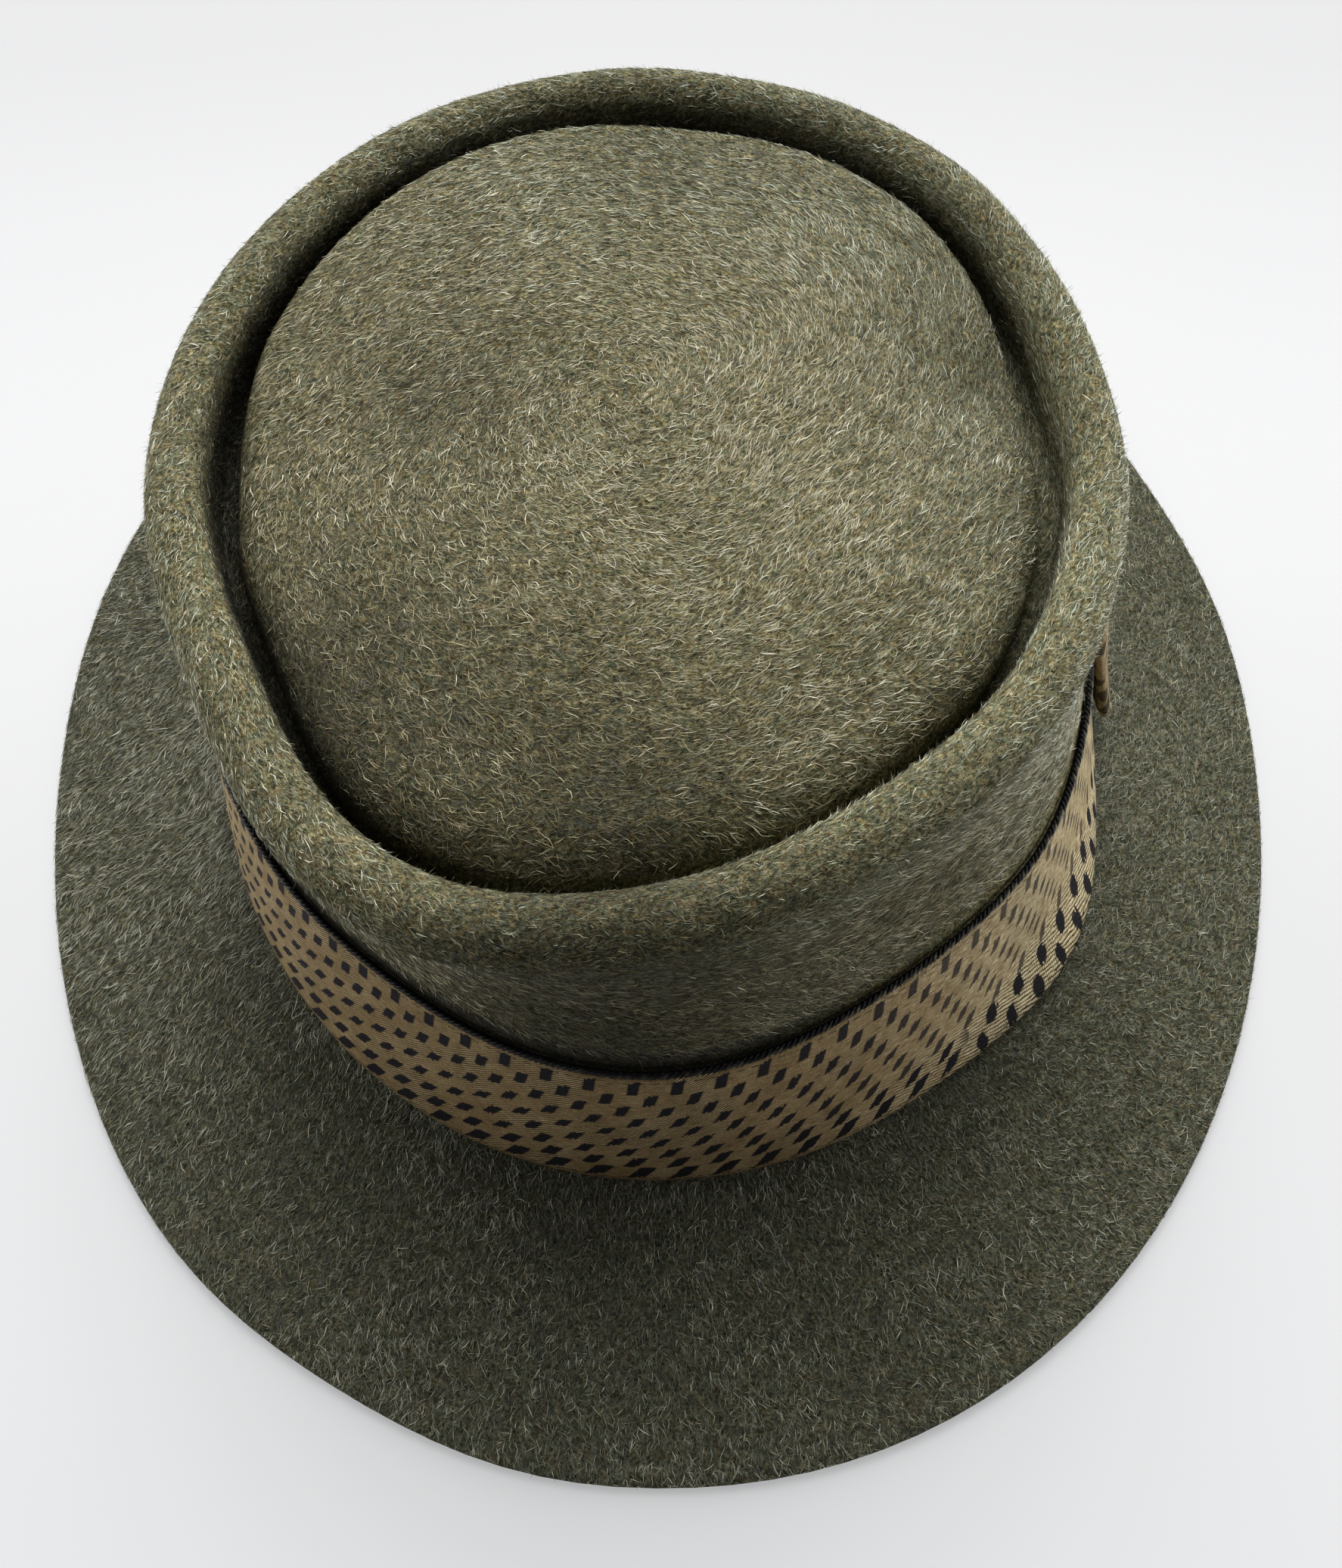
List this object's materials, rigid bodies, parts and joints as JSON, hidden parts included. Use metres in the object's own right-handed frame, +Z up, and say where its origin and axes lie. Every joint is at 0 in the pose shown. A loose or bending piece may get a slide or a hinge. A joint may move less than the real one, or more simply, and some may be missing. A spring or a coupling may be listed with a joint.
{
  "type": "felt hat",
  "caption": "Narrow-brimmed felt hat with a telescope crown, a patterned ribbon band with a black edging and a flat side bow, resting on its brim.",
  "frame": {"origin": "on the surface that the brim rests on, under the middle of the brim's length and width", "axes": "+Z up, -Y towards the front of the hat, +X towards the wearer's left, where the bow is"},
  "size_m": [0.2488, 0.2839, 0.0946],
  "materials": {
    "felt": "brushed long-haired fur felt, grey-green mixed with tan, brown and bluish hairs",
    "ribbon": "woven tan twill ribbon with rows of small near-black diamonds",
    "edging": "shiny black braided cord"
  },
  "bodies": {
    "root": {"felt_body": "felt", "band_ribbon": "ribbon", "black_edging": "edging", "bow_loop": "ribbon", "bow_knot": "ribbon"}
  },
  "joints": []
}
